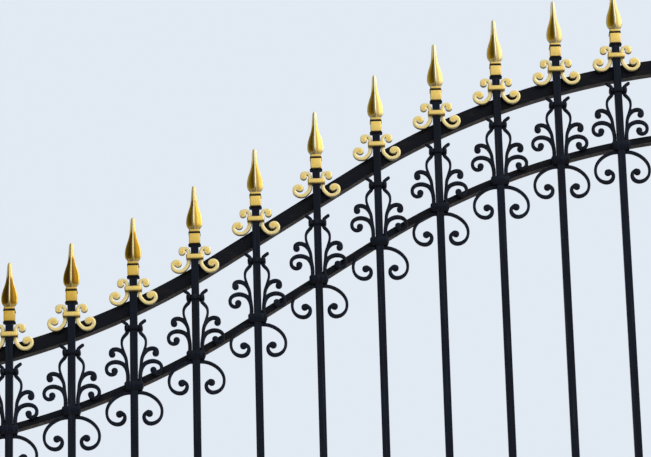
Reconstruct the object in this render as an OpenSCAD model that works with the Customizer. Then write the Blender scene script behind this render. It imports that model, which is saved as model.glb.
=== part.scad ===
// Pair of wrought iron driveway gates with swan-neck tops, gilded spearheads and
// scrollwork, hung between two steel posts. Units are millimetres, +Z is up, +X runs
// along the gate and the decorated front faces -Y. The origin is on the underside of
// the left post's base plate, at its centre.

/* [Leaf] */
// Distance between picket centres
pitch = 130; // [110:1:160]
// Bays between the two stiles of a leaf
bays = 15; // [8:1:20]
// Side of a square picket
picket = 16; // [12:1:20]
// Width of a stile, seen from the front
stile_w = 40; // [32:1:60]
// Gap between the two closed leaves
leaf_gap = 10; // [8:1:20]

/* [Swan neck] */
// Height of the top rail's centre at the hinge stile
low_z = 2500; // [2000:10:2800]
// Radius of the two bends in the top rail
bend_r = 1550; // [1400:10:1800]
// Steepest slope of the top rail, in degrees
slope = 32; // [26:1:34]

/* [Rails] */
// Height of the top rail's section
top_rail_h = 32; // [25:1:40]
// Height of the second rail's section
second_rail_h = 16; // [12:1:20]
// Depth of every rail, front to back
rail_d = 20; // [16:1:25]
// Distance of the second rail square to the top rail
rail_set = 80; // [60:1:100]
// Extra drop of the second rail
rail_drop = 83; // [70:1:100]
// Height of the two plain lower rails
flat_rail_h = 50; // [40:1:60]
// Underside of the bottom rail above the ground
bottom_z = 80; // [60:1:120]
// Underside of the lock rail above the ground
lock_z = 1050; // [900:10:1200]

/* [Ornament] */
// Depth of the flat scroll bars
scroll_d = 8; // [6:1:10]
// Height of a gilded spearhead
spear_h = 100; // [90:1:115]
// Half the width of a spearhead at its belly
spear_r = 17.4; // [14:0.1:18]
// Height of a gilded band above the top rail's centre
band_z = 28.4; // [27:0.1:34]
// How far the black ornament hangs below its place on the second rail
ornament_set = 3; // [0:0.5:4]

/* [Posts] */
// Side of a square post
post_w = 150; // [120:5:200]
// Height of a post below its cap
post_top = 2700; // [2400:10:3000]
// Side of a base plate
plate_w = 300; // [260:10:360]
// Thickness of a base plate
plate_t = 15; // [12:1:25]
// Distance between anchor holes
anchor_gap = 230; // [200:5:240]
// Diameter of an anchor hole
anchor_d = 22; // [14:1:26]

/* [Hinges] */
// Distance of a hinge axis from the post and from the stile
hinge_gap = 35; // [32:1:45]
// Diameter of a hinge pin
pin_d = 20; // [16:1:24]
// Radial clearance round a hinge pin
pin_play = 0.1; // [0.05:0.05:0.5]
// Heights of the three hinges on a leaf
hinge_heights = [260, 1300, 2240]; // [200:10:2300]

/* [Hidden] */

iron = "#1b1d22";
gold = "#e0b84a";

// Layout along the gate
span = bays * pitch;
hinge_x = post_w / 2 + hinge_gap;
stile_x = hinge_x + hinge_gap + stile_w / 2;
centre_x = stile_x + span + stile_w / 2 + leaf_gap / 2;
hinge_y = (rail_d - picket) / 2;
ramp = bend_r * sin(slope);
rise = 2 * bend_r * (1 - cos(slope)) + (span - 2 * ramp) * tan(slope);
rail_steps = 48;

// Heights above the top rail's centre line, up the head of a picket
band_h = 11.8;
neck_z = 59.4;
flare_h = 1.4;
flange_h = 2.2;
block_h = 22.9;
washer_h = 2.7;
ring_h = 6.5;
flange_w = 26.8;
flange_d = 18;
block_w = 23;
washer_w = 25;
ring_w = 23.5;
block_z = neck_z + flare_h + flange_h;
washer_z = block_z + block_h;
ring_z = washer_z + washer_h;
spear_z = ring_z + ring_h;

// Heights up the black ornament, from its place on the second rail
collar_w = 38.5;
top_collar_z = 117.2;
top_collar_h = 11.4;
lower_collar_z = -14;
lower_collar_h = 19;
collar_d = 4;

// Height of a rail's centre line at a distance x from the hinge stile's centre. The
// line runs square to the top rail at a distance of set, then lies lower by drop.
function rail_z(x, set, drop) =
    let (low_r = bend_r + set)
    let (high_r = bend_r - set)
    low_z - drop + (
        x < low_r * sin(slope) ? bend_r - sqrt(pow(low_r, 2) - x * x)
        : x > span - high_r * sin(slope) ? rise - bend_r + sqrt(pow(high_r, 2) - pow(span - x, 2))
        : bend_r - low_r / cos(slope) + x * tan(slope));

function top_z(x) = rail_z(x, 0, 0);
function second_z(x) = rail_z(x, rail_set, rail_drop);

// Curves: a cubic from four points, and a volute that winds in towards its eye
function cubic(p, t) =
    pow(1 - t, 3) * p[0] + 3 * t * pow(1 - t, 2) * p[1]
    + 3 * t * t * (1 - t) * p[2] + pow(t, 3) * p[3];
function curve(p, n) = [for (i = [0 : n]) cubic(p, i / n)];
function volute(eye, r0, r1, start, turn, n) =
    [for (i = [1 : n])
        let (t = i / n)
        eye + (r0 + (r1 - r0) * t) * [cos(start + turn * t), sin(start + turn * t)]];

// Outline of a bar that follows a path, its width taken from a list along the path
function heading(path, i) =
    let (d = path[min(i + 1, len(path) - 1)] - path[max(i - 1, 0)])
    [-d[1], d[0]] / norm(d);
function width_at(widths, t) =
    let (s = t * (len(widths) - 1))
    let (k = min(floor(s), len(widths) - 2))
    widths[k] + (widths[k + 1] - widths[k]) * (s - k);
function edge(path, widths, side) =
    [for (i = [0 : len(path) - 1])
        path[i] + side * width_at(widths, i / (len(path) - 1)) / 2 * heading(path, i)];
function flip(list) = [for (i = [len(list) - 1 : -1 : 0]) list[i]];
module bar(path, widths) {
    polygon(concat(edge(path, widths, 1), flip(edge(path, widths, -1))));
}

// Stands a front view up on the XZ plane, from y = y0 back to y0 + d
module stand(y0, d) {
    translate([0, y0 + d, 0]) rotate([90, 0, 0]) linear_extrude(d) children();
}
// Scroll work lies in the middle of the pickets' depth
module scroll_bar() {
    stand(-(picket + scroll_d) / 2, scroll_d) children();
}
module both_sides() {
    children();
    mirror([1, 0, 0]) children();
}
module block(w, d, z, h) {
    translate([-w / 2, -picket / 2 - d / 2, z]) cube([w, d, h]);
}

// Places children at each picket, or at each picket and stile, and at a line's height
module at_pickets(line) {
    for (i = [1 : bays - 1])
        translate([i * pitch, 0,
            line == "second" ? second_z(i * pitch) - ornament_set : top_z(i * pitch)])
            children();
}
module at_heads() {
    for (i = [0 : bays])
        translate([i * pitch, 0, top_z(i * pitch)]) children();
}

// The left leaf is drawn from its hinge stile's centre, and the right one mirrors it
module left_leaf() {
    translate([stile_x, 0, 0]) children();
}
module right_leaf() {
    translate([2 * centre_x - stile_x, 0, 0]) mirror([1, 0, 0]) children();
}
module right_post_place() {
    translate([2 * centre_x, 0, 0]) mirror([1, 0, 0]) children();
}

// Posts
module post_shape() {
    color(iron) translate([-post_w / 2, -post_w / 2, plate_t])
        cube([post_w, post_w, post_top - plate_t]);
}
module base_plate_shape() {
    color(iron) difference() {
        translate([-plate_w / 2, -plate_w / 2, 0]) cube([plate_w, plate_w, plate_t]);
        for (x = [-1, 1], y = [-1, 1])
            translate([x * anchor_gap / 2, y * anchor_gap / 2, -1])
                cylinder(d = anchor_d, h = plate_t + 2, $fn = 48);
    }
}
module cap_shape() {
    lip = 12;
    ledge = 5;
    cap_w = post_w + 2 * lip;
    cap_h = 52;
    color(iron) translate([0, 0, post_top]) {
        translate([-cap_w / 2, -cap_w / 2, 0]) cube([cap_w, cap_w, lip]);
        translate([0, 0, lip]) rotate(45)
            cylinder(r1 = (cap_w / 2 - ledge) * sqrt(2), r2 = 0, h = cap_h, $fn = 4);
    }
}

// Hinges: a bracket on the post carries a pin that stands up through an eye on the leaf
bracket_h = 16;
bracket_r = 18;
wall_t = 8;
wall_w = 90;
wall_h = 110;
pin_h = 46;
eye_h = 38;
eye_lift = 1;
strap_t = 14;
module bracket_shape() {
    for (z = hinge_heights) translate([hinge_x, hinge_y, z]) {
        translate([-hinge_gap, -wall_w / 2, -wall_h / 2]) cube([wall_t, wall_w, wall_h]);
        translate([-hinge_gap, -bracket_r, -bracket_h]) cube([hinge_gap, 2 * bracket_r, bracket_h]);
        translate([0, 0, -bracket_h]) cylinder(r = bracket_r, h = bracket_h, $fn = 64);
        cylinder(d = pin_d, h = pin_h, $fn = 64);
    }
}
module eye_shape() {
    for (z = hinge_heights) translate([hinge_x, hinge_y, z + eye_lift]) difference() {
        union() {
            cylinder(r = bracket_r, h = eye_h, $fn = 64);
            translate([0, -strap_t / 2, 0]) cube([hinge_gap, strap_t, eye_h]);
        }
        translate([0, 0, -1]) cylinder(d = pin_d + 2 * pin_play, h = eye_h + 2, $fn = 64);
    }
}

// Frame of a leaf
module stile_shape(x) {
    top = top_z(x) + top_rail_h / 2 + 8;
    translate([x - stile_w / 2, -picket, bottom_z - 20])
        cube([stile_w, picket + rail_d, top - bottom_z + 20]);
    translate([x - picket / 2, -picket, top])
        cube([picket, picket, top_z(x) + neck_z - top]);
}
module curved_rail(h, set, drop) {
    x0 = stile_w / 2;
    run = span - stile_w;
    line = [for (i = [0 : rail_steps])
        let (x = x0 + run * i / rail_steps)
        [x, rail_z(x, set, drop)]];
    outer = [for (p = edge(line, [h, h], 1)) [min(max(p[0], x0), x0 + run), p[1]]];
    inner = [for (p = edge(line, [h, h], -1)) [min(max(p[0], x0), x0 + run), p[1]]];
    stand(0, rail_d) polygon(concat(outer, flip(inner)));
}
module flat_rail(z) {
    translate([stile_w / 2, 0, z]) cube([span - stile_w, rail_d, flat_rail_h]);
}
module pickets_shape() {
    for (i = [1 : bays - 1])
        translate([i * pitch - picket / 2, -picket, bottom_z])
            cube([picket, picket, top_z(i * pitch) + neck_z - bottom_z]);
}

// Gilded head of a picket
module spearhead() {
    foot = curve([[9, 0], [10.5, 3], [spear_r, 6], [spear_r, 17]], 4);
    blade = curve([[spear_r, 17], [spear_r, 38], [8.6, 47], [6.6, spear_h - 32]], 5);
    tip = curve([[6.6, spear_h - 32], [5.6, spear_h - 22], [5.4, spear_h - 10],
        [4.2, spear_h - 3.5]], 2);
    rings = concat(foot, [for (i = [1 : 5]) blade[i]], [for (i = [1 : 2]) tip[i]],
        [[1.6, spear_h]]);
    hollow = 0.64;
    sides = 8;
    pts = [for (p = rings, k = [0 : sides - 1])
        let (r = p[0] * (k % 2 == 0 ? 1 : hollow))
        [r * cos(k * 45), r * sin(k * 45) - picket / 2, p[1]]];
    last = len(rings) - 1;
    skin = [for (j = [0 : last - 1], k = [0 : sides - 1])
        [j * sides + k, (j + 1) * sides + k,
         (j + 1) * sides + (k + 1) % sides, j * sides + (k + 1) % sides]];
    foot_face = [for (k = [0 : sides - 1]) k];
    tip_face = [for (k = [sides - 1 : -1 : 0]) last * sides + k];
    polyhedron(points = pts, faces = concat(skin, [foot_face, tip_face]));
}
module spear_socket() {
    block(block_w, block_w, block_z, block_h);
    block(ring_w, ring_w, ring_z, ring_h);
}
function flare(w) = [[-picket / 2, neck_z], [picket / 2, neck_z],
    [w / 2, neck_z + flare_h], [w / 2, block_z],
    [-w / 2, block_z], [-w / 2, neck_z + flare_h]];
module spear_collar() {
    intersection() {
        stand(-picket / 2 - flange_d / 2, flange_d) polygon(flare(flange_w));
        translate([-flange_w / 2, -picket / 2, 0]) rotate([90, 0, 90])
            linear_extrude(flange_w) polygon(flare(flange_d));
    }
    block(washer_w, washer_w, washer_z, washer_h);
}
// A band goes round the front and sides of a picket, clear of the rail behind it
module gold_band() {
    band_w = 36.8;
    wrap = 4;
    difference() {
        translate([-band_w / 2, -picket - wrap, band_z]) cube([band_w, picket + wrap, band_h]);
        block(picket, picket, band_z - 1, band_h + 2);
    }
}
// The two gilded scrolls on each side of a band: a small one up and a large one down
module gold_scroll() {
    translate([0, band_z]) {
        bar(concat(
            [[12.6, band_h]],
            curve([[12.6, band_h + 2], [12.6, 22], [16, 27], [23, 27]], 4),
            curve([[24.6, 27], [29.5, 26.8], [31.8, 23], [29.5, 19.5]], 4)), [7.8, 7.4]);
        translate([26.8, 18.4]) circle(r = 7.3, $fn = 40);
        bar(concat(
            [[12.8, 0]],
            curve([[12.8, -2], [12.8, -11], [18.4, -18.2], [25.4, -23.1]], 3),
            volute([35.6, -8.5], 17.8, 4.6, -125, 245, 12)), [8.4, 8]);
        translate([35.4, -7.3]) circle(r = 8, $fn = 40);
    }
}

// Black ornament between the two curved rails
module collar_outline(w, h) {
    c = 3;
    polygon([[-w / 2 + c, 0], [w / 2 - c, 0], [w / 2, c], [w / 2, h - c],
        [w / 2 - c, h], [-w / 2 + c, h], [-w / 2, h - c], [-w / 2, c]]);
}
module top_collar() {
    difference() {
        translate([0, 0, top_collar_z])
            stand(-picket - collar_d, picket + 2 * collar_d) collar_outline(collar_w, top_collar_h);
        block(picket, picket, top_collar_z - 1, top_collar_h + 2);
    }
}
// The lower collar narrows towards the roots of the C-scrolls
module lower_collar() {
    foot = lower_collar_z;
    head = lower_collar_z + lower_collar_h;
    front = -picket - collar_d;
    wide = collar_w / 2 + 1;
    difference() {
        intersection() {
            stand(front, -front) polygon([
                [-wide + 3.2, foot], [wide - 3.2, foot], [wide, foot + 11], [wide, head - 3.5],
                [wide - 2.7, head], [-wide + 2.7, head], [-wide, head - 3.5], [-wide, foot + 11]]);
            translate([-wide, 0, 0]) rotate([90, 0, 90]) linear_extrude(2 * wide) polygon([
                [0, foot], [0, head], [front + 2.5, head],
                [front, head - 3.5], [front, foot + 6], [front + 3, foot]]);
        }
        block(picket, picket, foot - 1, lower_collar_h + 2);
    }
}
// Stem below the top collar and the two scrolled branches that grow from it
module branch() {
    stem_foot = lower_collar_z + lower_collar_h;
    lead = 2;
    bar(concat(
        [[13.2, top_collar_z]],
        curve([[13.2, top_collar_z - lead], [15, 108.5], [24.8, 106], [25.3, 93]], 5),
        curve([[25.2, 88], [24.2, 75], [11.8, 62], [12.5, stem_foot + lead]], 5),
        [[12.5, stem_foot]]), [8, 6.8, 5.2, 5.4, 6]);
    bar(concat(
        [[13.1, stem_foot]],
        curve([[13.1, stem_foot + lead], [11.5, 27], [15.5, 44], [29, 48.2]], 4),
        curve([[34, 49.7], [45, 51.6], [57.6, 46.8], [57.6, 35]], 5),
        curve([[57, 30.5], [54, 22], [45, 20.5], [39.5, 25.5]], 4)), [7.8, 8.4, 9, 7.2, 7.4, 8]);
    translate([40.4, 30.6]) circle(r = 6.8, $fn = 40);
    bar(concat(
        curve([[15.6, 49], [16, 62.5], [25, 77.5], [38, 77.9]], 5),
        curve([[41, 77.6], [46.2, 76.8], [48.8, 73.4], [48.3, 68.5]], 3)), [6.6, 8.8, 8.4]);
    translate([45.4, 66.9]) circle(r = 6.9, $fn = 40);
}
// Leaf tip above the top collar
module leaf_tip() {
    foot = top_collar_z + top_collar_h;
    bar(concat(
        [[13.5, foot]],
        curve([[13.5, foot + 2], [15, 133], [18.5, 135.8], [23.2, 139]], 3)), [7, 6.6]);
    translate([23.2, 139]) circle(r = 3.4, $fn = 32);
}
module c_scroll() {
    root = lower_collar_z - 3.8;
    bar(concat(
        [[picket / 2, root]],
        curve([[10, root], [33, root], [57, -37.5], [57.4, -58]], 6),
        curve([[57.3, -62.5], [56.5, -76.4], [46, -85.6], [34, -85.6]], 5),
        curve([[29.5, -84.8], [19.6, -81], [17.2, -68.5], [22.8, -63.8]], 6),
        [[25.8, -61.2], [28.7, -59.5]]), [7.2, 7.2, 6.4, 6, 8, 8.8, 7.6, 7.2]);
    translate([31.2, -63.6]) circle(r = 7.2, $fn = 40);
}

// Nodes on the posts
module left_post() { post_shape(); }
module right_post() { right_post_place() post_shape(); }
module left_base_plate() { base_plate_shape(); }
module right_base_plate() { right_post_place() base_plate_shape(); }
module left_post_cap() { cap_shape(); }
module right_post_cap() { right_post_place() cap_shape(); }
module left_hinge_brackets() { color(iron) bracket_shape(); }
module right_hinge_brackets() { color(iron) right_post_place() bracket_shape(); }

// Nodes on the left leaf
module left_hinge_stile() { color(iron) left_leaf() stile_shape(0); }
module left_meeting_stile() { color(iron) left_leaf() stile_shape(span); }
module left_top_rail() { color(iron) left_leaf() curved_rail(top_rail_h, 0, 0); }
module left_second_rail() { color(iron) left_leaf() curved_rail(second_rail_h, rail_set, rail_drop); }
module left_lock_rail() { color(iron) left_leaf() flat_rail(lock_z); }
module left_bottom_rail() { color(iron) left_leaf() flat_rail(bottom_z); }
module left_pickets() { color(iron) left_leaf() pickets_shape(); }
module left_spearheads() { color(gold) left_leaf() at_heads() translate([0, 0, spear_z]) spearhead(); }
module left_spear_sockets() { color(gold) left_leaf() at_heads() spear_socket(); }
module left_spear_collars() { color(iron) left_leaf() at_heads() spear_collar(); }
module left_gold_bands() { color(gold) left_leaf() at_pickets("top") gold_band(); }
module left_gold_scrolls() {
    color(gold) left_leaf() at_pickets("top") both_sides() scroll_bar() gold_scroll();
}
module left_top_collars() { color(iron) left_leaf() at_pickets("second") top_collar(); }
module left_branch_scrolls() {
    color(iron) left_leaf() at_pickets("second") both_sides() {
        scroll_bar() branch();
        scroll_bar() leaf_tip();
    }
}
module left_lower_collars() { color(iron) left_leaf() at_pickets("second") lower_collar(); }
module left_c_scrolls() {
    color(iron) left_leaf() at_pickets("second") both_sides() scroll_bar() c_scroll();
}
module left_hinge_eyes() { color(iron) eye_shape(); }

// Nodes on the right leaf
module right_hinge_stile() { color(iron) right_leaf() stile_shape(0); }
module right_meeting_stile() { color(iron) right_leaf() stile_shape(span); }
module right_top_rail() { color(iron) right_leaf() curved_rail(top_rail_h, 0, 0); }
module right_second_rail() { color(iron) right_leaf() curved_rail(second_rail_h, rail_set, rail_drop); }
module right_lock_rail() { color(iron) right_leaf() flat_rail(lock_z); }
module right_bottom_rail() { color(iron) right_leaf() flat_rail(bottom_z); }
module right_pickets() { color(iron) right_leaf() pickets_shape(); }
module right_spearheads() { color(gold) right_leaf() at_heads() translate([0, 0, spear_z]) spearhead(); }
module right_spear_sockets() { color(gold) right_leaf() at_heads() spear_socket(); }
module right_spear_collars() { color(iron) right_leaf() at_heads() spear_collar(); }
module right_gold_bands() { color(gold) right_leaf() at_pickets("top") gold_band(); }
module right_gold_scrolls() {
    color(gold) right_leaf() at_pickets("top") both_sides() scroll_bar() gold_scroll();
}
module right_top_collars() { color(iron) right_leaf() at_pickets("second") top_collar(); }
module right_branch_scrolls() {
    color(iron) right_leaf() at_pickets("second") both_sides() {
        scroll_bar() branch();
        scroll_bar() leaf_tip();
    }
}
module right_lower_collars() { color(iron) right_leaf() at_pickets("second") lower_collar(); }
module right_c_scrolls() {
    color(iron) right_leaf() at_pickets("second") both_sides() scroll_bar() c_scroll();
}
module right_hinge_eyes() { color(iron) right_post_place() eye_shape(); }

left_post();
right_post();
left_base_plate();
right_base_plate();
left_post_cap();
right_post_cap();
left_hinge_brackets();
right_hinge_brackets();
left_hinge_stile();
left_meeting_stile();
left_top_rail();
left_second_rail();
left_lock_rail();
left_bottom_rail();
left_pickets();
left_spearheads();
left_spear_sockets();
left_spear_collars();
left_gold_bands();
left_gold_scrolls();
left_top_collars();
left_branch_scrolls();
left_lower_collars();
left_c_scrolls();
left_hinge_eyes();
right_hinge_stile();
right_meeting_stile();
right_top_rail();
right_second_rail();
right_lock_rail();
right_bottom_rail();
right_pickets();
right_spearheads();
right_spear_sockets();
right_spear_collars();
right_gold_bands();
right_gold_scrolls();
right_top_collars();
right_branch_scrolls();
right_lower_collars();
right_c_scrolls();
right_hinge_eyes();
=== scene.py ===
# Pair of swan-neck driveway gates: black forged leaves, gilded spearheads and scrollwork
import bpy
import math
import random
from mathutils import Matrix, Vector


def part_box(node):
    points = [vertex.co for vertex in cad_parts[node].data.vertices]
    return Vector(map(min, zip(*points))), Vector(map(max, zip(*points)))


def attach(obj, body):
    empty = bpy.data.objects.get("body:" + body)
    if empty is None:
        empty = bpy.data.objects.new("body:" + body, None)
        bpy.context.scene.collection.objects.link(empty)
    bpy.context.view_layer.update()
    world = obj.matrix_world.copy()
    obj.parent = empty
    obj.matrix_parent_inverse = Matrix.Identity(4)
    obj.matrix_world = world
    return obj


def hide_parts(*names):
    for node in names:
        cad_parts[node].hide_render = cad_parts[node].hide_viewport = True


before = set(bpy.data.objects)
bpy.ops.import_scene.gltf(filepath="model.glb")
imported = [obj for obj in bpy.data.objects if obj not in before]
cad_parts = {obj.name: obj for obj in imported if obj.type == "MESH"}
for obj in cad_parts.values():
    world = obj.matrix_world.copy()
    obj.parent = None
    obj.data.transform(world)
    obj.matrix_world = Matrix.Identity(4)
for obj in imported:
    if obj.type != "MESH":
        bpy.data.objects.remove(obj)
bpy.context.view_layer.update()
print("frame loaded,", len(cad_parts), "nodes")

mm = 0.001    # outlines below are drawn in millimetres

# Layout of a leaf, in metres: x runs from the hinge stile's centre, z is the real height
layout = {
    "pitch": 0.130, "bays": 15, "picket": 0.016,
    "stileWidth": 0.040, "leafDepth": 0.020,
    "lowZ": 2.500, "bendRadius": 1.550, "slope": math.radians(32),
    "railSet": 0.080, "railDrop": 0.083, "ornamentSet": 0.003,
}
leafSpan = layout["pitch"] * layout["bays"]
axisY = -layout["picket"] / 2 / mm    # centre of a picket's depth, in millimetres
leafTurn = {"left": 1, "right": -1}    # the right leaf is the left one mirrored
quarters = ((1, 0), (0, 1), (-1, 0), (0, -1))    # cosine and sine of each quarter turn


def leafStart(side):
    low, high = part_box(side + "_hinge_stile")
    return (low.x + high.x) / 2


# Height of a rail's centre line: level at the hinge, a steady rise, and level at the crest
def railHeight(x, railSet=0.0, railDrop=0.0):
    r, slope = layout["bendRadius"], layout["slope"]
    lowR, highR = r + railSet, r - railSet
    straight = leafSpan - 2 * r * math.sin(slope)
    rise = 2 * r * (1 - math.cos(slope)) + straight * math.tan(slope)
    if x < lowR * math.sin(slope):
        bend = r - math.sqrt(lowR ** 2 - x * x)
    elif x > leafSpan - highR * math.sin(slope):
        bend = rise - r + math.sqrt(highR ** 2 - (leafSpan - x) ** 2)
    else:
        bend = r - lowR / math.cos(slope) + x * math.tan(slope)
    return layout["lowZ"] - railDrop + bend


def secondHeight(x):
    return railHeight(x, layout["railSet"], layout["railDrop"])


# Curves of the smith's pattern, as lists of (x, z) in millimetres
def cubic(a, b, c, d, count):
    points = []
    for i in range(count + 1):
        t = i / count
        s = 1 - t
        k = (s ** 3, 3 * t * s * s, 3 * t * t * s, t ** 3)
        points.append(tuple(sum(w * p[j] for w, p in zip(k, (a, b, c, d))) for j in (0, 1)))
    return points


def volute(eye, r0, r1, start, turn, count):
    points = []
    for i in range(1, count + 1):
        t = i / count
        r = r0 + (r1 - r0) * t
        a = math.radians(start + turn * t)
        points.append((eye[0] + r * math.cos(a), eye[1] + r * math.sin(a)))
    return points


# 0 up to low, 1 from high on, and a smooth step between them
def ramp(value, low, high):
    t = min(max((value - low) / (high - low), 0.0), 1.0)
    return t * t * (3 - 2 * t)


plainRim = 0.3    # paint with neither a painted hollow shade nor a painted highlight


# A shape is three lists: points in millimetres, how near each is to a rim, and faces. On gold
# the rim value sets a painted highlight, and an amber painted hollow shade where it is low
class Shape:
    def __init__(self):
        self.points = []
        self.rims = []
        self.faces = []

    def add(self, points, faces, rims=None):
        first = len(self.points)
        self.points += points
        self.rims += rims or [plainRim] * len(points)
        self.faces += [tuple(first + i for i in f) for f in faces]

    def mirrored(self):
        twin = Shape()
        twin.points = self.points + [(-x, y, z) for x, y, z in self.points]
        twin.rims = self.rims * 2
        shift = len(self.points)
        twin.faces = self.faces + [tuple(shift + i for i in reversed(f)) for f in self.faces]
        return twin


# Rings of points joined into a closed body
def loft(rings):
    n = len(rings[0])
    points = [p for ring in rings for p in ring]
    faces = []
    for j in range(len(rings) - 1):
        for k in range(n):
            a, b = j * n + k, j * n + (k + 1) % n
            faces.append((a, b, b + n, a + n))
    faces.append(tuple(reversed(range(n))))
    faces.append(tuple(range(len(points) - n, len(points))))
    return points, faces


# Forged ornament is drawn as strokes, a path with a width along it. Strokes flow together
# where they touch, and the outline round them becomes one bar with rounded edges.
forged = {
    "cell": 0.7, "reach": 2.6, "beyond": 9.0,    # grid, and how far it goes past a stroke
    "weld": 1.2, "straightness": 0.085,    # fillet between strokes, and play of the outline
    "evenLine": 1, "evenWidth": 7, "tangent": 3,    # smoothing, in points of the outline
    "inset": 0.80, "crown": 0.10, "crownFrom": (4.6, 6.6),    # wide ends stand proud
    "rimFall": 0.9, "rimFrom": (1.2, 5.7),    # painted highlight along the edges, amber painted shade in the middle of wide parts
    # share of the inset and of the half depth, from the back of a bar to its front
    "section": ((1.0, 1.0), (0.50, 0.97), (0.15, 0.82), (0.0, 0.48),
                (0.0, -0.48), (0.15, -0.82), (0.50, -0.97), (1.0, -1.0)),
}


def stroke(path, widths):
    drawn = []
    for i, place in enumerate(path):
        s = i / (len(path) - 1) * (len(widths) - 1)
        k = min(int(s), len(widths) - 2)
        drawn.append((place, (widths[k] + (widths[k + 1] - widths[k]) * (s - k)) / 2))
    return drawn


def ballEnd(x, z, radius):
    return [((x, z), radius)]


# Distance from a stroke's edge, and the stroke's radius there, at the grid points near it
def strokeField(drawn):
    cell, field = forged["cell"], {}
    for (a, ra), (b, rb) in zip(drawn, drawn[1:] or drawn):
        far = max(ra, rb) + forged["reach"]
        dx, dz = b[0] - a[0], b[1] - a[1]
        square = dx * dx + dz * dz or 1.0
        for i in range(math.floor((min(a[0], b[0]) - far) / cell),
                       math.ceil((max(a[0], b[0]) + far) / cell) + 1):
            px = i * cell - a[0]
            for j in range(math.floor((min(a[1], b[1]) - far) / cell),
                           math.ceil((max(a[1], b[1]) + far) / cell) + 1):
                pz = j * cell - a[1]
                t = min(max((px * dx + pz * dz) / square, 0.0), 1.0)
                r = ra + (rb - ra) * t
                d = math.hypot(px - dx * t, pz - dz * t) - r
                if d < field.get((i, j), (forged["beyond"], 0.0))[0]:
                    field[i, j] = (d, r)
    return field


def weldedField(strokes):
    total, weld = {}, forged["weld"]
    for drawn in strokes:
        for key, (d, r) in strokeField(drawn).items():
            if key in total:
                e, q = total[key]
                h = min(max(0.5 + (e - d) / (2 * weld), 0.0), 1.0)
                total[key] = (e + (d - e) * h - weld * h * (1 - h), q + (r - q) * h)
            else:
                total[key] = (d, r)
    return total


# Walks round the zero line of the field, and returns a list of (x, z, radius)
def traceOutline(field):
    onward = {}
    for i, j in field:
        ring = ((i, j), (i + 1, j), (i + 1, j + 1), (i, j + 1))
        if not all(corner in field for corner in ring):
            continue
        leaving, entering = [], []
        for k in range(4):
            a, b = ring[k], ring[(k + 1) % 4]
            if (field[a][0] < 0) != (field[b][0] < 0):
                (leaving if field[a][0] < 0 else entering).append((min(a, b), max(a, b)))
        if len(leaving) == 2 and field[ring[0]][0] < 0:
            entering.reverse()
        onward.update(zip(leaving, entering))
    loops = []
    while onward:
        key = next(iter(onward))
        loop = []
        while key in onward:
            (a, b), key = key, onward.pop(key)
            (da, ra), (db, rb) = field[a], field[b]
            t = da / (da - db)
            loop.append(tuple(forged["cell"] * (a[m] + (b[m] - a[m]) * t) for m in (0, 1))
                        + (ra + (rb - ra) * t,))
        loops.append(loop)
    return max(loops, key=len)


def evened(values, reach):
    n = len(values)
    width = 2 * reach + 1
    return [tuple(sum(values[(i + k) % n][m] for k in range(-reach, reach + 1)) / width
                  for m in range(len(values[0]))) for i in range(n)]


# Numbers of the points that a closed outline needs to keep its shape
def keptPoints(outline):
    n = len(outline)
    kept = {0, n // 3, 2 * n // 3}
    spans = [(0, n // 3), (n // 3, 2 * n // 3), (2 * n // 3, n)]
    while spans:
        a, b = spans.pop()
        ax, az = outline[a][:2]
        bx, bz = outline[b % n][:2]
        length = math.hypot(bx - ax, bz - az)
        worst, far = None, forged["straightness"]
        for k in range(a + 1, b):
            x, z = outline[k][:2]
            d = abs((bx - ax) * (az - z) - (ax - x) * (bz - az)) / length
            if d > far:
                worst, far = k, d
        if worst is not None:
            kept.add(worst)
            spans += [(a, worst), (worst, b)]
    return sorted(kept)


def forgedBar(shape, strokes, depth):
    f = forged
    outline = evened(traceOutline(weldedField(strokes)), f["evenLine"])
    rooms = evened([(r,) for _, _, r in outline], f["evenWidth"])
    n, ahead = len(outline), f["tangent"]
    points = []
    for k in keptPoints(outline):
        x, z, _ = outline[k]
        (ax, az, _), (bx, bz, _) = outline[k - ahead], outline[(k + ahead) % n]
        length = math.hypot(bx - ax, bz - az)
        room = rooms[k][0]
        swell = 1 + f["crown"] * ramp(room, *f["crownFrom"])
        points.append((x, z, (az - bz) / length * room, (bx - ax) / length * room, swell))
    # Rims: high along the outline for a painted highlight, low in wide middles for an amber
    # painted shade
    rims = [1 - f["rimFall"] * ramp(math.hypot(nx, nz) * f["inset"] * inset, *f["rimFrom"])
            for inset, _ in f["section"] for _, _, nx, nz, _ in points]
    rings = [[(x + nx * f["inset"] * inset, axisY + swell * deep * depth / 2,
               z + nz * f["inset"] * inset) for x, z, nx, nz, swell in points]
             for inset, deep in f["section"]]
    shape.add(*loft(rings), rims)


moulded = {"cornerSteps": 4, "edgeSteps": 3}    # steps of a quarter turn


def roundedRectangle(x, y, halfX, halfY, r, steps):
    ring = []
    for q, (sx, sy) in enumerate(((1, 1), (-1, 1), (-1, -1), (1, -1))):
        for k in range(steps + 1):
            a = math.pi / 2 * (q + k / steps)
            ring.append((x + sx * (halfX - r) + r * math.cos(a),
                         y + sy * (halfY - r) + r * math.sin(a)))
    return ring


# Rounded rectangles stacked by a profile of (offset, z) or (x offset, y offset, z). The size
# is half the width, half the depth and the corner's radius.
def mouldedBlock(shape, size, profile, x=0.0, y=axisY):
    rings = []
    for *offset, z in profile:
        halfX, halfY = size[0] + offset[0], size[1] + offset[-1]
        ring = roundedRectangle(x, y, halfX, halfY, min(size[2], halfX, halfY),
                                moulded["cornerSteps"])
        rings.append([(px, py, z) for px, py in ring])
    shape.add(*loft(rings))


def raised(profile, base):
    return [(*offset, base + z) for *offset, z in profile]


# A profile whose top mirrors its foot
def bothEnds(foot, base, height):
    return raised(foot, base) + [(o, base + height - z) for o, z in reversed(foot)]


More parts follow.
